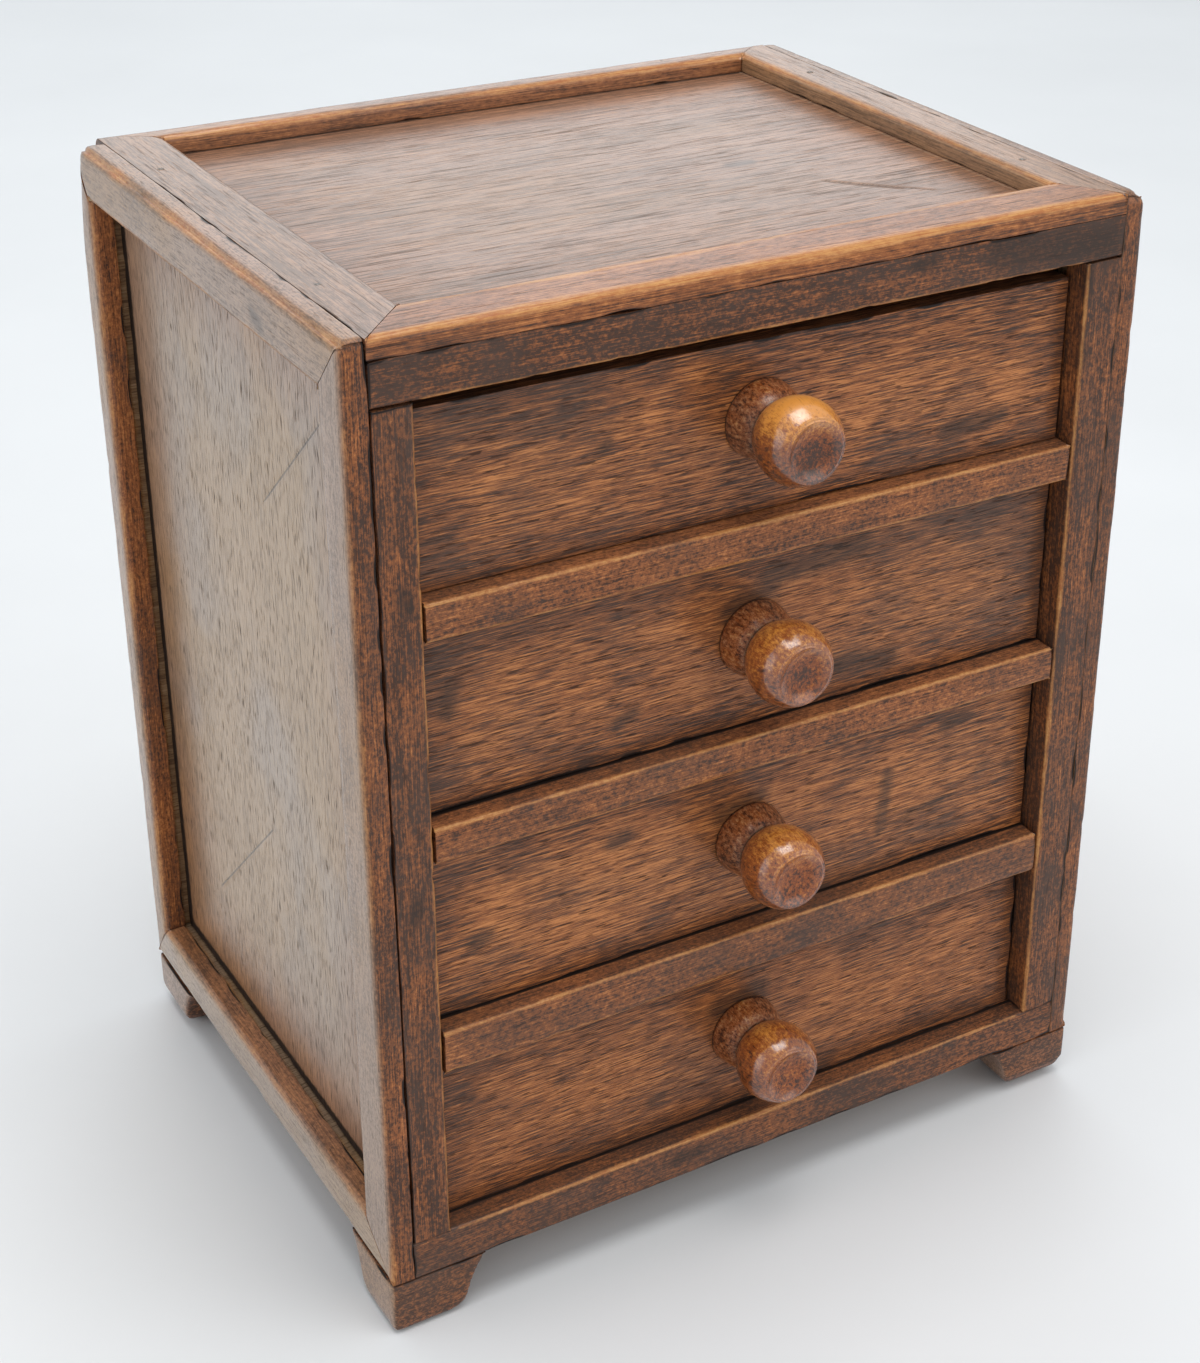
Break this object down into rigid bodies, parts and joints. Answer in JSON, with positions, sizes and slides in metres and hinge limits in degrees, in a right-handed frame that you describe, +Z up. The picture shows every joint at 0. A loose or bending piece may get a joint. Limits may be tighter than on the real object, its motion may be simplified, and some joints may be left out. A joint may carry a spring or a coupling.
{
  "type": "tabletop chest of drawers",
  "caption": "Small old wooden tabletop chest on shaped feet, with mitred strips round recessed panels and sliding drawers that have turned ball knobs.",
  "frame": {"origin": "on the surface that the feet stand on, below the middle of the whole outline with the drawers shut", "axes": "+Z up, the drawers open towards -Y, +X to the right as seen from the front"},
  "size_m": [0.205, 0.1776, 0.2555],
  "materials": {
    "stained_wood": "old dark reddish-brown stain, worn pale and golden on the edges, satin",
    "inside_wood": "bare wood darkened by age, matt",
    "knob_wood": "turned wood polished by hands, glossy",
    "brad_iron": "dark oxidised iron, matt"
  },
  "bodies": {
    "case": {"top_panel": "stained_wood", "bottom_panel": "inside_wood", "back_panel": "inside_wood", "left_side_panel": "stained_wood", "right_side_panel": "stained_wood", "front_top_rail": "stained_wood", "front_bottom_rail": "stained_wood", "front_left_stile": "stained_wood", "front_right_stile": "stained_wood", "divider_shelf_1": "stained_wood", "divider_shelf_2": "stained_wood", "divider_shelf_3": "stained_wood", "top_front_strip": "stained_wood", "top_back_strip": "stained_wood", "top_left_strip": "stained_wood", "top_right_strip": "stained_wood", "left_top_rail": "stained_wood", "left_bottom_rail": "stained_wood", "left_front_stile": "stained_wood", "left_back_stile": "stained_wood", "right_top_rail": "stained_wood", "right_bottom_rail": "stained_wood", "right_front_stile": "stained_wood", "right_back_stile": "stained_wood", "front_left_foot": "stained_wood", "front_right_foot": "stained_wood", "back_left_foot": "stained_wood", "back_right_foot": "stained_wood", "case_brads": "brad_iron"},
    "drawer_1": {"drawer_1_front": "stained_wood", "drawer_1_left_side": "inside_wood", "drawer_1_right_side": "inside_wood", "drawer_1_back": "inside_wood", "drawer_1_bottom": "inside_wood", "drawer_1_knob": "knob_wood", "drawer_1_brads": "brad_iron"},
    "drawer_2": {"drawer_2_front": "stained_wood", "drawer_2_left_side": "inside_wood", "drawer_2_right_side": "inside_wood", "drawer_2_back": "inside_wood", "drawer_2_bottom": "inside_wood", "drawer_2_knob": "knob_wood", "drawer_2_brads": "brad_iron"},
    "drawer_3": {"drawer_3_front": "stained_wood", "drawer_3_left_side": "inside_wood", "drawer_3_right_side": "inside_wood", "drawer_3_back": "inside_wood", "drawer_3_bottom": "inside_wood", "drawer_3_knob": "knob_wood", "drawer_3_brads": "brad_iron"},
    "drawer_4": {"drawer_4_front": "stained_wood", "drawer_4_left_side": "inside_wood", "drawer_4_right_side": "inside_wood", "drawer_4_back": "inside_wood", "drawer_4_bottom": "inside_wood", "drawer_4_knob": "knob_wood", "drawer_4_brads": "brad_iron"}
  },
  "joints": [
    {"name": "drawer_1_slide", "type": "slide", "parent": "case", "child": "drawer_1", "axis": [0, -1, 0], "range_m": [0, 0.11]},
    {"name": "drawer_2_slide", "type": "slide", "parent": "case", "child": "drawer_2", "axis": [0, -1, 0], "range_m": [0, 0.11]},
    {"name": "drawer_3_slide", "type": "slide", "parent": "case", "child": "drawer_3", "axis": [0, -1, 0], "range_m": [0, 0.11]},
    {"name": "drawer_4_slide", "type": "slide", "parent": "case", "child": "drawer_4", "axis": [0, -1, 0], "range_m": [0, 0.11]}
  ]
}
